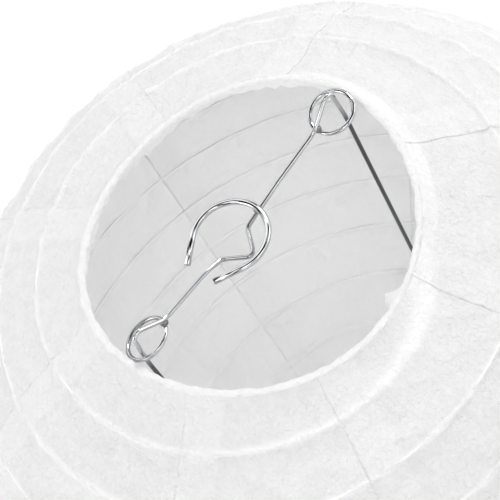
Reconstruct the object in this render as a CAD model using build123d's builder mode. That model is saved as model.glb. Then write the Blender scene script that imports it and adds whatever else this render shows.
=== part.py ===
"""Round paper globe lantern on a spiral wire rib, held open by a sprung wire expander.

Origin: on the lantern's vertical axis, at the height of the socket clip that it hangs from.
+Z is up, and +X runs along the expander's bridge, away from the clip's mouth. Millimetres.
"""

from build123d import *
import os
from math import cos, degrees, exp, radians, sin, sqrt, tan

os.makedirs("parts", exist_ok=True)

# ---- Driving sizes -----------------------------------------------------------------------------
globe_radius = 150.0  # outside of the paper at its widest
mouth_radius = 60.0  # centre line of the hoop wire in each mouth
lantern_height = 243.5  # from hoop to hoop
shoulder_slope = 30.0  # degrees that the paper falls away below level at the hoop
paper = 0.4  # thickness of the crinkled sheet
# Azimuth of each seam in degrees: the gores are pasted by hand and are a little uneven.
seams = (30, 75, 113, 159, 206, 247, 291, 337)
lap_angle = 5.0  # degrees by which a gore laps back over the one before it
lap_root = 1.0  # degrees of double thickness where the lap steps up
lap_gap = 0.1  # between a lap and the sheet under it, and between two sheets
lap_start = 3.0  # distance of the lap's end from the hoop
clearance = 0.3  # between a wire and the paper beside it

hoop_wire = 1.8  # diameter
rib_wire = 1.2  # diameter
rib_pitch = 22.5  # along the paper, from one turn to the next
rib_lead = 0.51  # extra pitches that the first and last coil drop away from the hoop
rib_lead_turns = 0.06  # how fast they do so, in turns
rib_margin = 3.4  # from the hoop's centre to the rib's end, along the paper
rib_start_azimuth = -70.0
rib_corners = 12  # bends in one turn
bend_share = 0.45  # share of a run that its bend takes at each end

frame_wire = 1.6  # diameter of the expander's wire
corner_inset = 6.7  # from the hoop's centre line to the corner
corner_rise = 12.8  # above the top hoop, to the corner that the bend rounds off
corner_bend = 2.4
knee_inset = 5.2
knee_drop = 6.0  # below the top hoop
knee_bend = 30.0
shoulder_inset = 18.8
shoulder_rise = 2.2
shoulder_bend = 9.0
bow_x = 20.0  # where the bridge bows down towards the kink
bow_rise = 0.6
bow_bend = 30.0
bridge_drop = 2.2  # of the kink, below the top hoop
foot_inset = 4.0
foot_reach = 1.2  # of the foot's tip, past the hoop's centre line
foot_bend = 2.4
kink_from = 1.5  # where the bridge leaves its line, on the +X side
kink_to = -12.6
kink_tip = -5.9
kink_depth = 9.4  # to the corner that the bend rounds off
kink_bend = 2.2
kink_shoulder_bend = 2.6

clip_wire = 2.2
clip_radius = 13.5  # centre line
clip_centre = (-5.3, 1.1)
clip_wrap = 121.0  # degrees each way from +X before the arms run straight
clip_arm = 10.5  # length of each straight arm
clip_seat = 0.4  # height of the weld between the bridge and the clip
clip_lift = 1.3  # gap between the kink and the clip

ring_radius = 8.0  # centre line of a tether ring
ring_reach = 1.3  # from the hoop's centre line to the far side of the right ring
ring_aside = 1.7  # gap that keeps the left ring beside its leg
weld_radius = 1.5

# ---- Heights and radii that follow -------------------------------------------------------------
bridge_z = -(frame_wire + clip_wire) / 2 - clip_lift
top_z = bridge_z + bridge_drop
middle_z = top_z - lantern_height / 2
bottom_z = top_z - lantern_height
hem_bore = hoop_wire / 2 + clearance
hem_radius = hem_bore + paper
# Centre of each ring, its height from the top hoop, and the way its face looks.
right_ring_x = mouth_radius - ring_reach - ring_radius
left_ring_x = hem_radius + clearance + frame_wire / 2 + ring_radius - mouth_radius
rings = {
    "ring_right": ((right_ring_x, 0.0, 1.7), (-0.15, 0.0, 1.0)),
    "ring_left": ((left_ring_x, ring_aside + frame_wire, -1.8), (-0.1, 0.35, 1.0)),
}

# The paper falls in a straight cone from the hoop, then bends round in one arc to the equator.
half_height = lantern_height / 2
slope = radians(shoulder_slope)
arc_radius = (
    half_height * cos(slope) - (globe_radius - mouth_radius) * sin(slope)
) / (1 - sin(slope))
cone_length = (half_height - arc_radius * cos(slope)) / sin(slope)
arc_centre = globe_radius - arc_radius
arc_angle = radians(90 - shoulder_slope)
half_length = cone_length + arc_radius * arc_angle


def at(along, inward=0.0):
    """Radius and height of a point of the paper, by its distance along it from the top hoop."""
    side = 1 if along <= half_length else -1
    run = along if side == 1 else 2 * half_length - along
    if run < cone_length:
        radius = mouth_radius + run * cos(slope) - inward * sin(slope)
        height = half_height - run * sin(slope) - inward * cos(slope)
    else:
        angle = arc_angle - (run - cone_length) / arc_radius
        radius = arc_centre + (arc_radius - inward) * cos(angle)
        height = (arc_radius - inward) * sin(angle)
    return radius, middle_z + side * height


def paper_band(first, outer, inner):
    """Outline of the paper between two depths below its outside, from one mouth to the other."""
    last = 2 * half_length - first
    middle = half_length
    bend = (cone_length, 2 * half_length - cone_length)
    Polyline(at(first, inner), at(first, outer), at(bend[0], outer))
    ThreePointArc(at(bend[0], outer), at(middle, outer), at(bend[1], outer))
    Polyline(at(bend[1], outer), at(last, outer), at(last, inner), at(bend[1], inner))
    ThreePointArc(at(bend[1], inner), at(middle, inner), at(bend[0], inner))
    Line(at(bend[0], inner), at(first, inner))


def hand_in(part, name):
    """Labels a finished piece and writes it."""
    part.label = name
    export_step(part, f"parts/{name}.step")


# ---- Hoops -------------------------------------------------------------------------------------
for name, height in (("top_hoop", top_z), ("bottom_hoop", bottom_z)):
    with BuildPart(Plane.XY.offset(height)) as hoop:
        Torus(mouth_radius, hoop_wire / 2)
    hand_in(hoop.part, name)

# ---- Paper gores -------------------------------------------------------------------------------
lap_outside = -(lap_gap + paper)
seam_gap = degrees(lap_gap / mouth_radius)
for index, seam in enumerate(seams):
    next_seam = seams[(index + 1) % len(seams)]
    width = (next_seam - seam) % 360 - seam_gap
    with BuildPart() as gore:
        # The sheet itself, with a hem rolled round each hoop.
        with BuildSketch(Plane.XZ.rotated((0, 0, seam))) as sheet_section:
            with BuildLine():
                paper_band((hem_bore + hem_radius) / 2, 0.0, paper)
            make_face()
            with Locations((mouth_radius, top_z), (mouth_radius, bottom_z)):
                Circle(hem_radius)
                Circle(hem_bore, mode=Mode.SUBTRACT)
        revolve(axis=Axis.Z, revolution_arc=width)
        # The step at the seam, up to the lap.
        with BuildSketch(Plane.XZ.rotated((0, 0, seam))) as step_section:
            with BuildLine():
                paper_band(lap_start, lap_outside, paper / 2)
            make_face()
        revolve(axis=Axis.Z, revolution_arc=lap_root)
        # The lap over the gore before.
        with BuildSketch(Plane.XZ.rotated((0, 0, seam - lap_angle))) as lap_section:
            with BuildLine():
                paper_band(lap_start, lap_outside, -lap_gap)
            make_face()
        revolve(axis=Axis.Z, revolution_arc=lap_root + lap_angle)
    hand_in(gore.part, f"paper_gore_{index + 1}")

# ---- Spiral rib --------------------------------------------------------------------------------
rib_depth = paper + clearance + rib_wire / 2
rib_span = 2 * (half_length - rib_margin)
rib_turns = rib_span / rib_pitch - 2 * rib_lead
bend_half = radians(180 / rib_corners)
# The route's corners stand outside the circle that their bends reach.
bend_reach = 2 * bend_share * cos(bend_half) * (1 / cos(bend_half) - 1)
rib_points = []
steps = round(rib_turns * rib_corners)
for step in range(steps + 1):
    turn = rib_turns * step / steps
    lead_in = 1 - exp(-turn / rib_lead_turns)
    lead_out = exp(-(rib_turns - turn) / rib_lead_turns)
    along = rib_margin + rib_pitch * (turn + rib_lead * (lead_in + lead_out))
    radius, height = at(along, rib_depth)
    azimuth = radians(rib_start_azimuth - 360 * turn)
    inner_corner = 0 < step < steps
    reach = radius / (1 - bend_reach) if inner_corner else radius
    rib_points.append(Vector(reach * cos(azimuth), reach * sin(azimuth), height))


def bend_radii(points):
    """The largest bend at each inner corner of a route."""
    radii = []
    for before, corner, after in zip(points, points[1:], points[2:]):
        run_in = corner - before
        run_out = after - corner
        turned = radians(run_in.get_angle(run_out))
        radii.append(bend_share * min(run_in.length, run_out.length) / tan(turned / 2))
    return radii


with BuildPart() as rib:
    with BuildLine() as rib_route:
        FilletPolyline(*rib_points, radius=bend_radii(rib_points))
    with BuildSketch(Plane(rib_route.line @ 0, z_dir=rib_route.line % 0)):
        Circle(rib_wire / 2)
    sweep(path=rib_route.line)
hand_in(rib.part, "rib_coil")

# ---- Expander ----------------------------------------------------------------------------------
foot_z = bottom_z + hem_radius + clearance + frame_wire / 2
shoulder_x = mouth_radius - shoulder_inset
corner_x = mouth_radius - corner_inset
right_side = [
    (kink_from, 0, bridge_z),
    (bow_x, 0, top_z + bow_rise),
    (shoulder_x, 0, top_z + shoulder_rise),
    (corner_x, 0, top_z + corner_rise),
    (mouth_radius - knee_inset, 0, top_z - knee_drop),
    (mouth_radius - foot_inset, 0, foot_z),
    (mouth_radius + foot_reach, 0, foot_z),
]
left_side = [(-x, y, z) for x, y, z in right_side[:0:-1]]
kink = [(kink_to, 0, bridge_z), (kink_tip, -kink_depth, bridge_z)]
side_bends = [bow_bend, shoulder_bend, corner_bend, knee_bend, foot_bend]
with BuildPart() as expander:
    with BuildLine() as expander_route:
        FilletPolyline(
            *left_side,
            *kink,
            *right_side,
            radius=[
                *side_bends[::-1],
                kink_shoulder_bend,
                kink_bend,
                kink_shoulder_bend,
                *side_bends,
            ],
        )
    with BuildSketch(Plane(expander_route.line @ 0, z_dir=expander_route.line % 0)):
        Circle(frame_wire / 2)
    sweep(path=expander_route.line)
hand_in(expander.part, "expander_wire")

# ---- Socket clip: a C of stouter wire, lying on the bridge, its mouth towards -X ----------------
with BuildPart() as clip:
    with BuildLine() as clip_route:
        bow = CenterArc(clip_centre, clip_radius, -clip_wrap, 2 * clip_wrap)
        Line(bow @ 1, bow @ 1 + clip_arm * (bow % 1))
        Line(bow @ 0 - clip_arm * (bow % 0), bow @ 0)
    with BuildSketch(Plane(clip_route.line @ 0, z_dir=clip_route.line % 0)):
        Circle(clip_wire / 2)
    sweep(path=clip_route.line)
hand_in(clip.part, "socket_clip")

# ---- Tether rings: one under each end of the bridge, beside the hoop ----------------------------
for name, ((x, y, rise), face) in rings.items():
    with BuildPart(Plane((x, y, top_z + rise), z_dir=face)) as ring:
        Torus(ring_radius, frame_wire / 2)
    hand_in(ring.part, name)


# ---- Welds: one at each ring and one under the clip --------------------------------------------
def ring_weld(centre, face):
    """Midway between the ring and the bridge, where the ring's inner side passes under it."""
    x, y, rise = centre
    side = 1 if x > 0 else -1
    over = -side * sqrt(ring_radius**2 - y**2)
    ring_height = rise - (face[0] * over - face[1] * y) / face[2]
    climb = (corner_rise - shoulder_rise) / (corner_x - shoulder_x)
    wire_height = shoulder_rise + climb * max(0.0, abs(x + over) - shoulder_x)
    return x + over, 0.0, top_z + (ring_height + wire_height) / 2


clip_weld_x = clip_centre[0] + sqrt(clip_radius**2 - clip_centre[1] ** 2)
weld_places = [ring_weld(centre, face) for centre, face in rings.values()]
weld_places.append((clip_weld_x, 0.0, -(clip_wire + clip_seat) / 2))
with BuildPart() as welds:
    with Locations(*weld_places):
        Sphere(weld_radius)
hand_in(welds.part, "weld_beads")
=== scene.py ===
"""Round paper globe lantern: gores of white fibre paper pasted over a spiral wire rib, hemmed
over a hoop at each mouth, and held open by a bright plated wire expander with a socket clip."""

from math import cos, pi, radians, sin

import bpy
import numpy as np
from bpy.props import FloatProperty, FloatVectorProperty, IntProperty, PointerProperty
from mathutils import Matrix, Vector


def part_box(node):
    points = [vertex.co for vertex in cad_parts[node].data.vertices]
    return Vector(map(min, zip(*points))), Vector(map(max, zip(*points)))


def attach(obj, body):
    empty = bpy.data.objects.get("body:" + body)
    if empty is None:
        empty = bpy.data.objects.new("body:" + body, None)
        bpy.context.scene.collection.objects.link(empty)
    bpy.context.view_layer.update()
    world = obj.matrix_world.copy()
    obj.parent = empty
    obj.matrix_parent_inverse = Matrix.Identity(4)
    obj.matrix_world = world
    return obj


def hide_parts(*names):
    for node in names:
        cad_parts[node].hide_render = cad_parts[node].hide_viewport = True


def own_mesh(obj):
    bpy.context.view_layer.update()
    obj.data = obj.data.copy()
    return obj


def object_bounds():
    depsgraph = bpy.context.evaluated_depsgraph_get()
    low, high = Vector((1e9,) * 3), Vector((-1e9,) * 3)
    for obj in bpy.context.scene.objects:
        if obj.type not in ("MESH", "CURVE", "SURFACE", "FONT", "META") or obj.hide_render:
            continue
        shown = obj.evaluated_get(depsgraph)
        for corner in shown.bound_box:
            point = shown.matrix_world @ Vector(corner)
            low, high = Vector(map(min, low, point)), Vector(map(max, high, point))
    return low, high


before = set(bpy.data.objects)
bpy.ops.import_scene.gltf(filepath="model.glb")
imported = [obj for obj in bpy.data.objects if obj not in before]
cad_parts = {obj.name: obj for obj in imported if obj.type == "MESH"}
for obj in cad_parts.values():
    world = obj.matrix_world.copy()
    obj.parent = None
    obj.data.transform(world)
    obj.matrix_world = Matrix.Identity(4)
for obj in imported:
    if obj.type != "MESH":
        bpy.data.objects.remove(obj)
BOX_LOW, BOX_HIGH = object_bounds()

bl_info = {
    "name": "Paper globe lantern",
    "version": (1, 0, 0),
    "blender": (4, 5, 0),
    "location": "3D View > Sidebar > Lantern",
    "description": "A hanging paper globe lantern on a spiral rib, with its wire expander",
    "category": "Add Mesh",
}

MM = 0.001

# ---- Places that the frame gives ---------------------------------------------------------------
hoop_low, hoop_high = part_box("top_hoop")
lower_low, lower_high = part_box("bottom_hoop")
HOOP_WIRE = (hoop_high[2] - hoop_low[2]) / 2
MOUTH_RADIUS = (hoop_high[0] - hoop_low[0]) / 2 - HOOP_WIRE
TOP_Z = (hoop_low[2] + hoop_high[2]) / 2
BOTTOM_Z = (lower_low[2] + lower_high[2]) / 2
MIDDLE_Z = (TOP_Z + BOTTOM_Z) / 2
HALF_HEIGHT = (TOP_Z - BOTTOM_Z) / 2
LAP_STAND = 0.5 * MM  # how far the laps stand out of the globe
GLOBE_RADIUS = (BOX_HIGH[0] - BOX_LOW[0]) / 2 - LAP_STAND
UPPER_BODY = "lantern"
LOWER_BODY = "lower_hoop"

# Azimuth in degrees of each gore's cut edge, which lies over the gore before.
SEAMS = (25, 70, 108, 154, 201, 242, 286, 332)

# A flap of the top hem stands inward here: its azimuth and half width in degrees, and its length.
FLAP_AZIMUTH = 279
FLAP_WIDTH = 6
FLAP_LENGTH = 6.5 * MM

# A hem's mesh: squares round the mouth, and squares across the strip.
HEM_COLUMNS = 720
HEM_ROWS = 30

FLOOR_SIZE = 12


def linear(code):
    """An sRGB hex colour as Blender's linear red, green, blue and alpha."""
    channels = [int(code[i : i + 2], 16) / 255 for i in (1, 3, 5)]
    return [
        c / 12.92 if c <= 0.04045 else ((c + 0.055) / 1.055) ** 2.4 for c in channels
    ] + [1.0]


def length(name, description, millimetres):
    """A size that a user may change, kept in metres."""
    return FloatProperty(
        name=name,
        description=description,
        default=millimetres * MM,
        unit="LENGTH",
        precision=5,
    )


def angle(name, description, value):
    """An angle that a user may change, given here in degrees."""
    return FloatProperty(
        name=name, description=description, default=radians(value), subtype="ANGLE"
    )


def colour(name, description, code):
    """A colour that a user may change, given here in sRGB hex."""
    return FloatVectorProperty(
        name=name, description=description, default=linear(code), size=4, subtype="COLOR"
    )


class PaperSettings(bpy.types.PropertyGroup):
    """The sheet and how it lies over the ribs."""

    slope: angle("Shoulder slope", "Fall of the paper at the hoop", 30)
    sheet: length("Sheet", "Thickness of the modelled sheet", 0.16)
    grid: length("Grid", "Size of the mesh's squares, round the globe", 1.5)
    rows: length("Rows", "Size of the mesh's squares, down the globe", 0.7)
    sag: length("Sag", "Depth that the paper sinks between ribs", 1.3)
    crease: length("Crease", "Height of the line that a rib presses up", 0.85)
    crease_width: length("Crease width", "Half width of that line", 0.7)
    crinkle: length("Crinkle", "Depth of the crinkles", 1.0)
    lap: length("Lap", "Width that a gore laps over the one before", 14)
    lap_lift: length("Lap lift", "Height of a lap over the sheet under it", 0.2)
    warp: length("Warp", "Height that the expander bows the top hoop up at its ends", 4.1)
    warp_reach: length("Warp reach", "Distance over which the bow fades out", 45)
    hem_line: length("Hem line", "From the hoop to the edge that the hem presses up", 7.5)
    hem_inside: length("Hem inside", "Width of the hem's torn edge inside", 3.6)
    hem_roll: length("Hem roll", "Radius of the roll round the hoop", 1.65)
    white: colour("White", "Bleached mulberry paper", "#F2F2F2")
    fibre: colour("Fibre", "Thin places between the clots of fibre", "#EAEAEA")
    # Pale also paints the highlight along each rib's line.
    pale: colour("Pale", "Doubled or rubbed paper", "#FDFDFD")


class RibSettings(bpy.types.PropertyGroup):
    """The spiral wire under the paper."""

    pitch: length("Pitch", "Distance along the paper from one turn to the next", 22.5)
    lead: FloatProperty(
        name="Lead", description="Extra pitches at each end of the spiral", default=0.51
    )
    lead_turns: FloatProperty(
        name="Lead turns", description="Turns in which the spiral gains them", default=0.06
    )
    margin: length("Margin", "Distance from the hoop to the spiral's end", 3.4)
    start: angle("Start", "Azimuth where the spiral leaves the top hoop", -70)
    wire: length("Wire", "Radius of the rib wire", 0.32)
    steps: IntProperty(name="Steps", description="Points in one turn", default=72)
    coat: colour("Coat", "White lacquer on the rib wire", "#F4F4F4")
    paste: colour("Paste", "Dried paste on the lacquer", "#F6F6F4")


class WireSettings(bpy.types.PropertyGroup):
    """The expander's plated wire."""

    plate: colour("Plate", "Bright nickel plating", "#D8D8DA")
    tarnish: colour("Tarnish", "Nickel drawn and handled", "#B2B3B6")
    # The plate is painted this darker grey below the mouth, full from 9 mm under the top hoop.
    below_mouth_grey: colour("Thin plate", "Thin dark plating of the legs", "#58595C")
    weld: colour("Weld", "Heat-stained weld metal", "#2E2C2B")
    hoop: colour("Hoop", "Drawn steel of the hoops", "#B9BABB")
    angle_limit: angle("Smooth angle", "Edges sharper than this stay sharp", 40)


class StageSettings(bpy.types.PropertyGroup):
    """Camera, light and floor."""

    heading: angle("Heading", "Azimuth that the camera looks along", 68.33)
    pitch: angle("Pitch", "Angle that the camera looks down", 56.56)
    roll: angle("Roll", "Turn of the camera about its own line of sight", -33.21)
    distance: length("Distance", "From the camera to the middle of the mouth", 599.7)
    target_x: length("Target X", "Middle of the view", -4.3)
    target_y: length("Target Y", "Middle of the view", -5.2)
    target_drop: length("Target drop", "Depth of the view's middle under the hoop", 4.2)
    lens: FloatProperty(name="Lens", description="Focal length in mm", default=128.2)
    floor: colour("Floor", "Pale matt floor", "#FFFFFF")
    floor_drop: length("Floor drop", "Gap under the lantern", 2)


# ---- Shape of the paper ------------------------------------------------------------------------
def eased(share):
    """The share from 0 to 1, with a smooth start and end."""
    return share * share * (3 - 2 * share)


def round_axis(out, azimuth, height):
    """Points at those distances from the lantern's axis, azimuths and heights."""
    return np.stack([out * np.cos(azimuth), out * np.sin(azimuth), height], axis=-1)


def arc_sizes(slope):
    """Radius, centre and cone length of the half profile: a cone, then one arc."""
    width = GLOBE_RADIUS - MOUTH_RADIUS
    radius = (HALF_HEIGHT * cos(slope) - width * sin(slope)) / (1 - sin(slope))
    cone = (HALF_HEIGHT - radius * cos(slope)) / sin(slope)
    return radius, GLOBE_RADIUS - radius, cone, cone + radius * (pi / 2 - slope)


def profile(along, inward, slope):
    """Radius and height of the paper at distances along it from the top hoop."""
    radius, centre, cone, half = arc_sizes(slope)
    side = np.where(along <= half, 1.0, -1.0)
    run = np.where(along <= half, along, 2 * half - along)
    turn = pi / 2 - slope - (run - cone) / radius
    on_cone = run < cone
    out = np.where(
        on_cone,
        MOUTH_RADIUS + run * cos(slope) - inward * sin(slope),
        centre + (radius - inward) * np.cos(turn),
    )
    height = np.where(
        on_cone,
        HALF_HEIGHT - run * sin(slope) - inward * cos(slope),
        (radius - inward) * np.sin(turn),
    )
    return out, MIDDLE_Z + side * height


def rib_course(rib, paper):
    """Turns of the spiral, and the distance along the paper at each."""
    half = arc_sizes(paper.slope)[3]
    turns = 2 * (half - rib.margin) / rib.pitch - 2 * rib.lead
    turn = np.linspace(0, turns, int(turns * rib.steps) + 1)
    gained = 1 - np.exp(-turn / rib.lead_turns) + np.exp((turn - turns) / rib.lead_turns)
    return turn, rib.margin + rib.pitch * (turn + rib.lead * gained)


def warp(along, azimuth, paper):
    """Height that the bowed top hoop gives the paper near it: nothing at the expander's ends."""
    near = np.clip(1 - along / paper.warp_reach, 0, 1)
    return eased(near) * paper.warp * (np.cos(2 * azimuth) - 1)


def roll_radius(azimuth, top, paper):
    """Radius of the hem's roll round a hoop: lumpy, as it is folded by hand."""
    lumps = ripples(azimuth, seed=30 if top else 31, waves=9, around=(12, 90))
    return paper.hem_roll * (1 + 0.12 * lumps)


def ripples(azimuth, along=0.0, *, seed, waves, around, down=0.0):
    """Smooth random waves over the sheet, from -1 to 1 or so, closed round the globe.

    around bounds how many of a wave's crests fit round the globe, and down is the spread of its
    turn, in radians for each millimetre along the paper.
    """
    draw = np.random.default_rng(seed)
    total = np.zeros_like(azimuth)
    for _ in range(waves):
        crests = draw.integers(*around)
        twist = draw.normal(0, down)
        total += np.sin(crests * azimuth + twist * along / MM + draw.uniform(0, 2 * pi))
    return total / np.sqrt(waves)


def rib_distance(azimuth, along, settings):
    """How far points of the paper lie from the nearest turn of the rib."""
    rib = settings.rib
    turn, course = rib_course(rib, settings.paper)
    phase = np.interp(along, course, turn) - (rib.start - azimuth) / (2 * pi)
    return np.abs(phase - np.round(phase)) * rib.pitch


def paper_points(azimuth, along, lift, settings):
    """Points on the paper's outside, sunk between the ribs and pressed up over them.

    lift is how far the sheet stands off the globe at each point.
    """
    paper, rib = settings.paper, settings.rib
    whole = along.max()
    from_hoop = np.minimum(along, whole - along)
    beside = rib_distance(azimuth, along, settings) / rib.pitch
    spread = np.clip(1 - 2 * beside, 0, 1)
    # The bays beside the hoops are short, and the sheet is pulled tight there.
    tight = np.clip(from_hoop / (1.2 * rib.pitch), 0, 1)
    bay = 1 - spread * spread
    slack = 1 + 0.35 * ripples(azimuth, along, seed=5, waves=9, around=(2, 13), down=0.05)
    crease = paper.crease * np.exp(-((beside * rib.pitch / paper.crease_width) ** 2))
    inward = paper.sag * bay * slack * tight - crease - lift
    # Short pleats run across each rib and die out into the bay.
    pleats = ripples(azimuth, along, seed=11, waves=14, around=(60, 230), down=0.05)
    inward += 0.28 * paper.crinkle * pleats * bay * (1 - bay) * 2 * tight
    # The hem turned in at each hoop lifts the sheet over its roll.
    near = np.clip(1 - from_hoop / (1.3 * paper.hem_line), 0, 1)
    rolls = [roll_radius(azimuth, top, paper) for top in (True, False)]
    inward -= np.where(2 * along < whole, *rolls) * near**2
    # The hem's edge, under the sheet, presses a step of a tenth of a millimetre up through it.
    edge = paper.hem_line * (1 + 0.12 * ripples(azimuth, seed=31, waves=8, around=(5, 40)))
    inward -= 0.12 * MM * np.clip((edge - from_hoop) / MM, 0, 1)
    out, height = profile(along, inward, paper.slope)
    return round_axis(out, azimuth, height + warp(along, azimuth, paper))


# ---- Modelling helpers -------------------------------------------------------------------------
def deselect():
    """Nothing is selected and nothing is active."""
    if bpy.context.mode != "OBJECT":
        bpy.ops.object.mode_set(mode="OBJECT")
    bpy.ops.object.select_all(action="DESELECT")


def pick(piece):
    """Only this piece is selected, and it is active."""
    deselect()
    piece.select_set(True)
    bpy.context.view_layer.objects.active = piece


def new_sheet(name, columns, rows):
    """A flat grid of that many squares, to be laid over the globe."""
    deselect()
    bpy.ops.mesh.primitive_grid_add(x_subdivisions=columns, y_subdivisions=rows, size=1)
    piece = bpy.context.object
    piece.name = name
    flat = np.empty(len(piece.data.vertices) * 3)
    piece.data.vertices.foreach_get("co", flat)
    flat = flat.reshape(-1, 3)
    return piece, flat[:, 0] + 0.5, flat[:, 1] + 0.5


def lay(piece, points):
    """Moves the sheet's points to their places, with its faces outwards."""
    piece.data.vertices.foreach_set("co", np.asarray(points, float).ravel())
    piece.data.update()


def clean(piece, merge=0.0, align=True):
    """Merges a piece's points that lie closer than merge, and makes its faces look one way."""
    pick(piece)
    bpy.ops.object.mode_set(mode="EDIT")
    bpy.ops.mesh.select_all(action="SELECT")
    if merge:
        bpy.ops.mesh.remove_doubles(threshold=merge)
    if align:
        bpy.ops.mesh.normals_make_consistent(inside=False)
    bpy.ops.object.mode_set(mode="OBJECT")


def modify(piece, name, kind, **values):
    """Adds a modifier with those values, and applies it."""
    pick(piece)
    modifier = piece.modifiers.new(name, kind)
    for key, value in values.items():
        setattr(modifier, key, value)
    bpy.ops.object.modifier_apply(modifier=modifier.name)


def crinkle_texture(name, size, kind="CLOUDS"):
    """A procedural height for crinkles about that large: soft clouds, or sharp ridges."""
    texture = bpy.data.textures.new(name, kind)
    texture.noise_scale = size
    if kind == "CLOUDS":
        texture.noise_depth = 3
    else:
        texture.musgrave_type = "RIDGED_MULTIFRACTAL"
        texture.octaves = 3
    return texture


def hold_ends(piece, from_hoop, held=2 * MM, reach=9 * MM):
    """A group of the sheet's loose points: none within held of a hoop, and all past reach more."""
    group = piece.vertex_groups.new(name="loose")
    steps = np.clip(np.rint(10 * (from_hoop - held) / reach), 0, 10).astype(int)
    for step in range(11):
        group.add(np.flatnonzero(steps == step).tolist(), step / 10, "REPLACE")


def crinkle(piece, paper):
    """Presses large soft crinkles, small ones and sharp folds into a sheet."""
    sizes = (
        ("soft_crinkle", "CLOUDS", 17 * MM, 0.9),
        ("fine_crinkle", "CLOUDS", 4.5 * MM, 0.5),
        ("folds", "MUSGRAVE", 15 * MM, 0.8),
    )
    for name, kind, size, share in sizes:
        modify(
            piece,
            name,
            "DISPLACE",
            texture=crinkle_texture(name, size, kind),
            texture_coords="LOCAL",
            strength=paper.crinkle * share,
            mid_level=0.5,
            vertex_group="loose",
        )


def mark(piece, name, values):
    """Stores a number at each point of a piece for its material to read."""
    layer = piece.data.attributes.get(name) or piece.data.attributes.new(name, "FLOAT", "POINT")
    layer.data.foreach_set("value", np.asarray(values, np.float32))


def mark_sides(piece, pale_outside, pale_inside):
    """After thickening, the first points are the sheet's outside and the rest its inside."""
    mark(piece, "pale", np.concatenate([pale_outside, pale_inside]))
    mark(piece, "outside", np.repeat([1.0, 0.0], [len(pale_outside), len(pale_inside)]))


def thicken(piece, thickness, offset=-1.0):
    """Gives a sheet its two sides."""
    modify(piece, "thickness", "SOLIDIFY", thickness=thickness, offset=offset)


def finish_piece(piece, material, body, nodes=()):
    """Smooths a piece, gives it its material and seats it in the frame."""
    pick(piece)
    bpy.ops.object.shade_smooth()
    piece.data.materials.clear()
    piece.data.materials.append(material)
    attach(piece, body)
    if nodes:
        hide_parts(*nodes)


def folds_flat(piece):
    """Gives the piece a mesh of its own, not shared with any other."""
    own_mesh(piece)


# ---- Materials ---------------------------------------------------------------------------------
def new_material(name):
    """An empty material with an output, and its node tree."""
    material = bpy.data.materials.new(name)
    material.use_nodes = True
    material.node_tree.nodes.clear()
    return material, material.node_tree


def node(tree, kind, links=(), **settings):
    """Adds a node. Settings name its properties or its sockets, and links join sockets to it."""
    made = tree.nodes.new(kind)
    for key, value in settings.items():
        if hasattr(made, key):
            setattr(made, key, value)
        else:
            made.inputs[key.replace("_", " ")].default_value = value
    for source, socket in links:
        tree.links.new(source, made.inputs[socket])
    return made


def mulberry_paper(name, paper):
    """Matt bleached paper: cloudy fibre clots, long fibres and a fine crinkled tooth."""
    material, tree = new_material(name)
    place = node(tree, "ShaderNodeTexCoord").outputs["Object"]
    # The pulp settles on the mould in clots from 5 mm across down to single fibres.
    clots = node(tree, "ShaderNodeTexNoise", [(place, "Vector")], Scale=190.0, Detail=9.0)
    clots.inputs["Roughness"].default_value = 0.78
    # Real fibres are too fine to show. These are about 1 mm by 4 mm, stretched along the height.
    lie = node(
        tree,
        "ShaderNodeMapping",
        [(place, "Vector")],
        Scale=(1.0, 1.0, 0.28),
        Rotation=(0.5, 0.35, 0),
    )
    fibres = node(
        tree,
        "ShaderNodeTexNoise",
        [(lie.outputs[0], "Vector")],
        Scale=900.0,
        Detail=3.0,
        Distortion=1.6,
    )
    shade = node(
        tree, "ShaderNodeMapRange", [(clots.outputs["Fac"], "Value")], From_Min=0.35, From_Max=0.7
    )
    # The inside was laid on the mould's smooth side, so it is plain.
    outside = node(tree, "ShaderNodeAttribute", attribute_name="outside")
    mottled = node(
        tree,
        "ShaderNodeMath",
        [(shade.outputs[0], 0), (outside.outputs["Fac"], 1)],
        operation="MULTIPLY",
    )
    tone = node(tree, "ShaderNodeMix", [(mottled.outputs[0], 0)], data_type="RGBA")
    tone.inputs[6].default_value = paper.white
    tone.inputs[7].default_value = paper.fibre
    # Doubled paper is whiter, as less light goes through. Each rib's line gets a painted
    # highlight: over the ridge outside, and over the shade of its groove inside.
    pale = node(tree, "ShaderNodeAttribute", attribute_name="pale")
    whiter = node(
        tree, "ShaderNodeMix", [(pale.outputs["Fac"], 0), (tone.outputs[2], 6)], data_type="RGBA"
    )
    whiter.inputs[7].default_value = paper.pale
    # The tooth's wrinkles are about 1.6 mm across, and deeper on the outside.
    wrinkles = node(
        tree, "ShaderNodeTexNoise", [(place, "Vector")], Scale=620.0, Detail=6.0, Distortion=0.5
    )
    tooth = node(
        tree, "ShaderNodeBump", [(fibres.outputs["Fac"], "Height")], Strength=0.6, Distance=0.0005
    )
    depth = node(tree, "ShaderNodeMapRange", [(outside.outputs["Fac"], "Value")], To_Min=0.2)
    depth.inputs["To Max"].default_value = 0.8
    relief = node(
        tree,
        "ShaderNodeBump",
        [
            (wrinkles.outputs["Fac"], "Height"),
            (tooth.outputs[0], "Normal"),
            (depth.outputs[0], "Strength"),
        ],
        Distance=0.0012,
    )
    face = node(
        tree,
        "ShaderNodeBsdfPrincipled",
        [(whiter.outputs[2], "Base Color"), (relief.outputs[0], "Normal")],
        Roughness=0.85,
    )
    face.inputs["Specular IOR Level"].default_value = 0.25
    through = node(
        tree,
        "ShaderNodeBsdfTranslucent",
        [(whiter.outputs[2], "Color"), (relief.outputs[0], "Normal")],
    )
    # A thin unsized sheet lets about a sixth of the light through, softly.
    both = node(
        tree, "ShaderNodeMixShader", [(face.outputs[0], 1), (through.outputs[0], 2)], Fac=0.16
    )
    node(tree, "ShaderNodeOutputMaterial", [(both.outputs[0], "Surface")])
    return material


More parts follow.
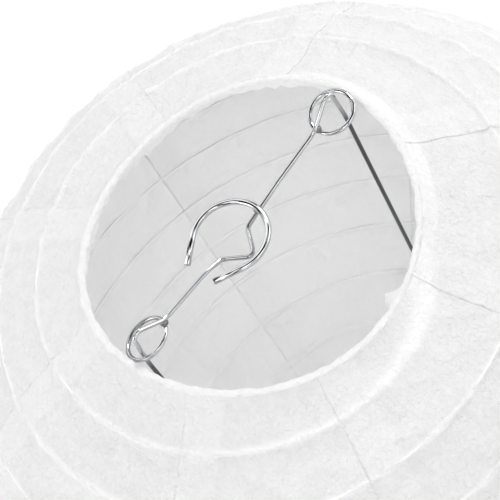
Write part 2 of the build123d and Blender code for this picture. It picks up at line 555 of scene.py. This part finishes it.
def drawn_wire(name, base, rub, roughness, scale, dark=None):
    """Bright plated wire: clean reflections, with faint draw lines and worn patches.
    Given a dark colour, it is painted darker below the mouth."""
    material, tree = new_material(name)
    place = node(tree, "ShaderNodeTexCoord").outputs["Object"]
    patches = node(tree, "ShaderNodeTexNoise", [(place, "Vector")], Scale=scale, Detail=4.0)
    tone = node(tree, "ShaderNodeMix", [(patches.outputs["Fac"], 0)], data_type="RGBA")
    tone.inputs[6].default_value = base
    tone.inputs[7].default_value = rub
    if dark:
        # Painted darker below the mouth: from 1 mm over the top hoop to the dark colour 9 mm under
        # it.
        height = node(tree, "ShaderNodeSeparateXYZ", [(place, 0)])
        below = node(
            tree,
            "ShaderNodeMapRange",
            [(height.outputs["Z"], "Value")],
            From_Min=TOP_Z + 1 * MM,
            From_Max=TOP_Z - 9 * MM,
        )
        tone = node(
            tree, "ShaderNodeMix", [(below.outputs[0], 0), (tone.outputs[2], 6)], data_type="RGBA"
        )
        tone.inputs[7].default_value = dark
    rough = node(
        tree,
        "ShaderNodeMapRange",
        [(patches.outputs["Fac"], "Value")],
        From_Min=0.3,
        From_Max=0.75,
        To_Min=roughness,
        To_Max=roughness * 2,
    )
    # Real draw lines are hundredths of a millimetre apart. These are 0.4 mm, to show faintly.
    fine = node(tree, "ShaderNodeTexNoise", [(place, "Vector")], Scale=2600.0, Detail=2.0)
    lines = node(
        tree, "ShaderNodeBump", [(fine.outputs["Fac"], "Height")], Strength=0.12, Distance=0.0001
    )
    metal = node(
        tree,
        "ShaderNodeBsdfPrincipled",
        [
            (tone.outputs[2], "Base Color"),
            (rough.outputs[0], "Roughness"),
            (lines.outputs[0], "Normal"),
        ],
        Metallic=1.0,
    )
    node(tree, "ShaderNodeOutputMaterial", [(metal.outputs[0], "Surface")])
    return material


def lacquered_wire(name, rib):
    """Thin spring wire under white lacquer, chalky in patches 4 mm across where paste dried."""
    material, tree = new_material(name)
    place = node(tree, "ShaderNodeTexCoord").outputs["Object"]
    paste = node(tree, "ShaderNodeTexNoise", [(place, "Vector")], Scale=260.0, Detail=4.0)
    rough = node(
        tree, "ShaderNodeMapRange", [(paste.outputs["Fac"], "Value")], To_Min=0.35, To_Max=0.75
    )
    tone = node(tree, "ShaderNodeMix", [(paste.outputs["Fac"], 0)], data_type="RGBA")
    tone.inputs[6].default_value = rib.coat
    tone.inputs[7].default_value = rib.paste
    coat = node(
        tree,
        "ShaderNodeBsdfPrincipled",
        [(tone.outputs[2], "Base Color"), (rough.outputs[0], "Roughness")],
    )
    node(tree, "ShaderNodeOutputMaterial", [(coat.outputs[0], "Surface")])
    return material


def matt_floor(name, stage):
    """Seamless white studio paper, with a faint tooth 2.5 mm across."""
    material, tree = new_material(name)
    place = node(tree, "ShaderNodeTexCoord").outputs["Object"]
    tooth = node(tree, "ShaderNodeTexNoise", [(place, "Vector")], Scale=400.0)
    bump = node(tree, "ShaderNodeBump", [(tooth.outputs["Fac"], "Height")], Strength=0.05)
    face = node(
        tree,
        "ShaderNodeBsdfPrincipled",
        [(bump.outputs[0], "Normal")],
        Base_Color=stage.floor,
        Roughness=0.9,
    )
    node(tree, "ShaderNodeOutputMaterial", [(face.outputs[0], "Surface")])
    return material


def material_named(name, make, *args):
    """The material of that name, made the first time it is asked for."""
    return bpy.data.materials.get(name) or make(name, *args)


# ---- Pieces ------------------------------------------------------------------------------------
class LANTERN_OT_gores(bpy.types.Operator):
    """Pastes the paper gores over the ribs, each lapped over the one before"""

    bl_idname = "lantern.gores"
    bl_label = "Paper gores"

    def execute(self, context):
        settings = context.scene.lantern
        paper = settings.paper
        material = material_named("mulberry_fibre_paper", mulberry_paper, paper)
        whole = 2 * arc_sizes(paper.slope)[3]
        for index, seam in enumerate(SEAMS):
            width = radians((SEAMS[(index + 1) % len(SEAMS)] - seam) % 360)
            columns = int((width * GLOBE_RADIUS + paper.lap) / paper.grid)
            rows = int(whole / paper.rows)
            piece, across, down = new_sheet(f"gore_sheet_{index + 1}", columns, rows)
            along = down * whole
            from_hoop = np.minimum(along, whole - along)
            out = profile(along, 0.0, paper.slope)[0]
            # The lap is as wide in millimetres at the mouth as at the equator.
            lap = paper.lap / out
            into = across * (width + lap)
            azimuth = radians(seam) + into
            # The sheet's first edge lies over the gore before, and comes down again past the lap.
            rise = np.clip((lap - into) * out / (1.5 * MM) + 1, 0, 1)
            ends = np.clip(from_hoop / (4 * MM), 0, 1)
            lift = paper.lap_lift * eased(rise) * ends
            lay(piece, paper_points(azimuth, along, lift, settings))
            # A painted highlight along each rib's line, where the ridge that it presses up catches
            # the light.
            rib_highlight = np.exp(-((rib_distance(azimuth, along, settings) / (0.75 * MM)) ** 2))
            doubled = self.doubled(into, width, lap)
            # The hem turned in under the sheet is widest on the +X side.
            tucked = np.clip((6.5 * MM - from_hoop) / MM, 0, 1)
            tucked = tucked * np.clip(3 * np.cos(azimuth + radians(20)) - 1.9, 0, 1)
            pale = np.maximum(rib_highlight, np.maximum(0.4 * doubled, 0.7 * tucked))
            clean(piece)
            self.face_outwards(piece)
            hold_ends(piece, from_hoop)
            crinkle(piece, paper)
            thicken(piece, paper.sheet)
            # The inside gets only the rib lines' painted light, which lifts the shade in each
            # groove.
            mark_sides(piece, pale, rib_highlight)
            finish_piece(piece, material, UPPER_BODY, [f"paper_gore_{index + 1}"])
            folds_flat(piece)
        return {"FINISHED"}

    @staticmethod
    def doubled(into, width, lap):
        """1 where two sheets lie on each other: within a lap of either edge of the sheet."""
        fade = 0.06
        first = np.clip((1 - into / lap) / fade, 0, 1)
        last = np.clip((into - width) / lap / fade + 1, 0, 1)
        return np.maximum(first, last)

    @staticmethod
    def face_outwards(piece):
        """Turns the sheet's faces away from the lantern's axis if they look at it."""
        face = piece.data.polygons[len(piece.data.polygons) // 2]
        middle = Vector((0, 0, MIDDLE_Z))
        if (face.center - middle).dot(face.normal) < 0:
            piece.data.flip_normals()


class LANTERN_OT_hems(bpy.types.Operator):
    """Rolls the paper's hem round each hoop, with a torn edge inside"""

    bl_idname = "lantern.hems"
    bl_label = "Hems"

    def execute(self, context):
        settings = context.scene.lantern
        material = material_named("mulberry_fibre_paper", mulberry_paper, settings.paper)
        for name, top in (("top_hem", True), ("bottom_hem", False)):
            piece = self.hem(name, top, settings)
            body = UPPER_BODY if top else LOWER_BODY
            finish_piece(piece, material, body)
            if top:
                folds_flat(piece)
        return {"FINISHED"}

    def hem(self, name, top, settings):
        """A strip from the outside, over the hoop and down inside the mouth."""
        paper = settings.paper
        piece, around, across = new_sheet(name, HEM_COLUMNS, HEM_ROWS)
        azimuth = around * 2 * pi
        seed = 21 if top else 22
        torn = 1 + 0.30 * ripples(azimuth, seed=seed, waves=14, around=(9, 70))
        inside = paper.hem_inside * np.clip(torn, 0.35, 2)
        beside = (np.degrees(azimuth) - FLAP_AZIMUTH) / FLAP_WIDTH
        flap = np.exp(-(beside**2)) if top else 0.0
        inside = inside + FLAP_LENGTH * flap
        roll = roll_radius(azimuth, top, paper)
        # From under the sheet outside, over the hoop to its inside, and down to the torn edge.
        share = 0.5
        turn = np.clip(across / share, 0, 1)
        drop = inside * np.clip((across - share) / (1 - share), 0, 1)
        start = pi / 2 - paper.slope - 0.3
        swing = start + turn * (pi - start - 0.35)
        out = MOUTH_RADIUS + roll * np.cos(swing)
        height = HALF_HEIGHT + roll * np.sin(swing)
        # The torn edge leans outwards as it hangs, except for the flap, which stands inwards.
        lean = 0.27 + 0.15 * ripples(azimuth, seed=seed + 13, waves=7, around=(6, 30))
        out = out + drop * (lean - 0.9 * flap)
        height = MIDDLE_Z + height - drop * (1 - 0.4 * flap)
        height = height + top * warp(0.0, azimuth, paper)
        points = round_axis(out, azimuth, height)
        if not top:
            points[:, 2] = 2 * MIDDLE_Z - points[:, 2]
        lay(piece, points)
        clean(piece, merge=0.02 * MM)
        modify(
            piece,
            "torn_edge",
            "DISPLACE",
            texture=crinkle_texture("hem_crinkle", 4 * MM),
            texture_coords="LOCAL",
            strength=0.5 * MM,
            mid_level=0.5,
        )
        thicken(piece, paper.sheet, 0.0)
        mark(piece, "pale", np.full(len(piece.data.vertices), 0.8))
        mark(piece, "outside", np.ones(len(piece.data.vertices)))
        return piece


class LANTERN_OT_ribs(bpy.types.Operator):
    """Winds the spiral rib inside the paper, and bows the top hoop"""

    bl_idname = "lantern.ribs"
    bl_label = "Rib and hoops"

    def execute(self, context):
        settings = context.scene.lantern
        paper, rib = settings.paper, settings.rib
        turn, along = rib_course(rib, paper)
        azimuth = rib.start - 2 * pi * turn
        # The wire lies 0.15 mm clear of the crease that it presses into the sheet.
        depth = rib.wire + paper.sheet + 0.15 * MM - paper.crease
        out, height = profile(along, depth, paper.slope)
        points = round_axis(out, azimuth, height + warp(along, azimuth, paper))
        spiral = self.wire_along("rib_spiral", points, rib.wire, False)
        coat = material_named("white_lacquered_wire", lacquered_wire, rib)
        finish_piece(spiral, coat, UPPER_BODY, ["rib_coil"])
        folds_flat(spiral)

        around = np.linspace(0, 2 * pi, 180, endpoint=False)
        circle = round_axis(MOUTH_RADIUS, around, TOP_Z + warp(0.0, around, paper))
        hoop = self.wire_along("bowed_top_hoop", circle, HOOP_WIRE, True)
        wire = settings.wire
        steel = material_named("drawn_steel", drawn_wire, wire.hoop, wire.tarnish, 0.28, 420.0)
        finish_piece(hoop, steel, UPPER_BODY, ["top_hoop"])
        # The bottom hoop is flat, so the frame's own piece is kept and given the same steel.
        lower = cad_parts["bottom_hoop"]
        lower.data.materials.clear()
        lower.data.materials.append(steel)
        return {"FINISHED"}

    @staticmethod
    def wire_along(name, points, radius, closed):
        """A round wire along those points, as a mesh."""
        curve = bpy.data.curves.new(name, "CURVE")
        curve.dimensions = "3D"
        curve.bevel_depth = radius
        curve.bevel_resolution = 2
        curve.use_fill_caps = not closed
        spline = curve.splines.new("POLY")
        spline.points.add(len(points) - 1)
        spline.points.foreach_set("co", np.c_[points, np.ones(len(points))].ravel())
        spline.use_cyclic_u = closed
        piece = bpy.data.objects.new(name, curve)
        bpy.context.collection.objects.link(piece)
        pick(piece)
        bpy.ops.object.convert(target="MESH")
        return bpy.context.object


class LANTERN_OT_wires(bpy.types.Operator):
    """Finishes the expander, its rings, clip and welds as smooth plated wire"""

    bl_idname = "lantern.wires"
    bl_label = "Expander"

    def execute(self, context):
        wire = context.scene.lantern.wire
        bright = (wire.plate, wire.tarnish, 0.07, 150.0, wire.below_mouth_grey)
        plate = material_named("bright_nickel_plate", drawn_wire, *bright)
        stain = material_named("weld_metal", drawn_wire, wire.weld, wire.tarnish, 0.3, 700.0)
        pieces = {
            "expander_wire": ("bright_expander", plate),
            "socket_clip": ("bright_clip", plate),
            "ring_left": ("bright_ring_left", plate),
            "ring_right": ("bright_ring_right", plate),
            "weld_beads": ("welds", stain),
        }
        for node_name, (name, material) in pieces.items():
            piece = self.smooth_copy(node_name, name, wire.angle_limit)
            finish_piece(piece, material, UPPER_BODY, [node_name])
        return {"FINISHED"}

    @staticmethod
    def smooth_copy(node_name, name, limit):
        """A merged copy of a CAD node, so that its reflections run smoothly."""
        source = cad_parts[node_name]
        piece = bpy.data.objects.new(name, source.data.copy())
        bpy.context.collection.objects.link(piece)
        piece.data.transform(source.matrix_world)
        clean(piece, merge=0.002 * MM, align=False)
        bpy.ops.object.shade_smooth_by_angle(angle=limit)
        return piece


class LANTERN_OT_stage(bpy.types.Operator):
    """Sets the floor, the soft lights and the camera"""

    bl_idname = "lantern.stage"
    bl_label = "Stage"

    def execute(self, context):
        stage = context.scene.lantern.stage
        self.floor(stage)
        self.lights()
        self.world(context.scene)
        self.camera(context.scene, stage)
        context.scene.view_settings.view_transform = "Standard"
        return {"FINISHED"}

    @staticmethod
    def floor(stage):
        """A wide sheet of studio paper just under the lantern."""
        deselect()
        place = (0, 0, BOX_LOW[2] - stage.floor_drop)
        bpy.ops.mesh.primitive_grid_add(
            x_subdivisions=4, y_subdivisions=4, size=FLOOR_SIZE, location=place
        )
        floor = bpy.context.object
        floor.name = "studio_floor"
        floor.data.materials.append(material_named("studio_paper", matt_floor, stage))

    @staticmethod
    def light(name, kind, place, power):
        """A light at place, turned to the lantern's middle."""
        lamp = bpy.data.lights.new(name, kind)
        lamp.energy = power
        holder = bpy.data.objects.new(name, lamp)
        holder.location = place
        aim = Vector((0, 0, MIDDLE_Z))
        holder.rotation_euler = (aim - Vector(place)).to_track_quat("-Z", "Y").to_euler()
        bpy.context.collection.objects.link(holder)
        return holder

    def lights(self):
        """Soft square lights round the lantern, and a hidden lamp inside it."""
        # Each one's name, place in metres, side in metres and power in watts.
        softboxes = (
            ("key_softbox", (1.2, 0.5, 1.1), 0.5, 12),
            ("camera_softbox", (-0.35, -0.75, 1.25), 0.45, 3),
            ("left_softbox", (-1.4, 0.4, 0.5), 0.9, 8),
            ("right_softbox", (1.4, -0.8, 0.5), 0.8, 3.5),
            ("low_softbox", (-0.5, -1.4, 0.1), 1.0, 3.5),
        )
        for name, place, side, power in softboxes:
            self.light(name, "AREA", place, power).data.size = side
        # This only evens out the inner wall's tone. No camera or mirror sees it.
        inner = self.light("inner_lamp", "POINT", (0, 0, MIDDLE_Z), 0.235)
        inner.data.shadow_soft_size = 0.05
        inner.visible_camera = False
        inner.visible_glossy = False

    @staticmethod
    def world(scene):
        """Bright even surroundings. Mirrors see dark flags between white panels instead."""
        world = bpy.data.worlds.new("studio")
        world.use_nodes = True
        tree = world.node_tree
        tree.nodes.clear()
        view = node(tree, "ShaderNodeTexCoord").outputs["Generated"]
        bands = node(
            tree, "ShaderNodeTexNoise", [(view, "Vector")], Scale=1.7, Detail=0.0, Distortion=0.4
        )
        ramp = node(tree, "ShaderNodeValToRGB", [(bands.outputs["Fac"], "Fac")])
        flag, panel = ramp.color_ramp.elements
        flag.position, flag.color = 0.51, (0.01, 0.01, 0.01, 1)
        panel.position, panel.color = 0.53, (2.4, 2.4, 2.4, 1)
        path = node(tree, "ShaderNodeLightPath")
        seen = node(
            tree,
            "ShaderNodeMix",
            [(path.outputs["Is Glossy Ray"], 0), (ramp.outputs[0], 7)],
            data_type="RGBA",
        )
        seen.inputs[6].default_value = (1, 1, 1, 1)
        sky = node(tree, "ShaderNodeBackground", [(seen.outputs[2], "Color")], Strength=0.72)
        node(tree, "ShaderNodeOutputWorld", [(sky.outputs[0], "Surface")])
        scene.world = world

    @staticmethod
    def camera(scene, stage):
        """Looks down into the mouth, rolled about its own line of sight."""
        heading, pitch = stage.heading, stage.pitch
        forward = Vector((cos(heading) * cos(pitch), sin(heading) * cos(pitch), -sin(pitch)))
        target = Vector((stage.target_x, stage.target_y, TOP_Z - stage.target_drop))
        lens = bpy.data.cameras.new("camera")
        lens.lens = stage.lens
        lens.sensor_width = 36
        camera = bpy.data.objects.new("camera", lens)
        bpy.context.collection.objects.link(camera)
        turn = forward.to_track_quat("-Z", "Y").to_matrix().to_4x4()
        place = Matrix.Translation(target - stage.distance * forward)
        camera.matrix_world = place @ turn @ Matrix.Rotation(stage.roll, 4, "Z")
        scene.camera = camera


class LanternSettings(bpy.types.PropertyGroup):
    """All of the lantern's sizes and colours."""

    paper: PointerProperty(type=PaperSettings)
    rib: PointerProperty(type=RibSettings)
    wire: PointerProperty(type=WireSettings)
    stage: PointerProperty(type=StageSettings)


OPERATORS = (
    LANTERN_OT_gores,
    LANTERN_OT_hems,
    LANTERN_OT_ribs,
    LANTERN_OT_wires,
    LANTERN_OT_stage,
)


class LANTERN_PT_panel(bpy.types.Panel):
    """Lists the lantern's pieces and sizes"""

    bl_label = "Paper globe lantern"
    bl_idname = "LANTERN_PT_panel"
    bl_space_type = "VIEW_3D"
    bl_region_type = "UI"
    bl_category = "Lantern"

    def draw(self, context):
        settings = context.scene.lantern
        for operator in OPERATORS:
            self.layout.operator(operator.bl_idname)
        for group in ("paper", "rib", "wire", "stage"):
            box = self.layout.box()
            box.label(text=group.title())
            for key in type(getattr(settings, group)).__annotations__:
                box.prop(getattr(settings, group), key)


CLASSES = (
    PaperSettings,
    RibSettings,
    WireSettings,
    StageSettings,
    LanternSettings,
    *OPERATORS,
    LANTERN_PT_panel,
)


def register():
    for item in CLASSES:
        bpy.utils.register_class(item)
    bpy.types.Scene.lantern = PointerProperty(type=LanternSettings)


def unregister():
    del bpy.types.Scene.lantern
    for item in reversed(CLASSES):
        bpy.utils.unregister_class(item)


def main():
    register()
    bpy.ops.lantern.gores()
    bpy.ops.lantern.hems()
    bpy.ops.lantern.ribs()
    bpy.ops.lantern.wires()
    bpy.ops.lantern.stage()


if __name__ == "__main__":
    main()
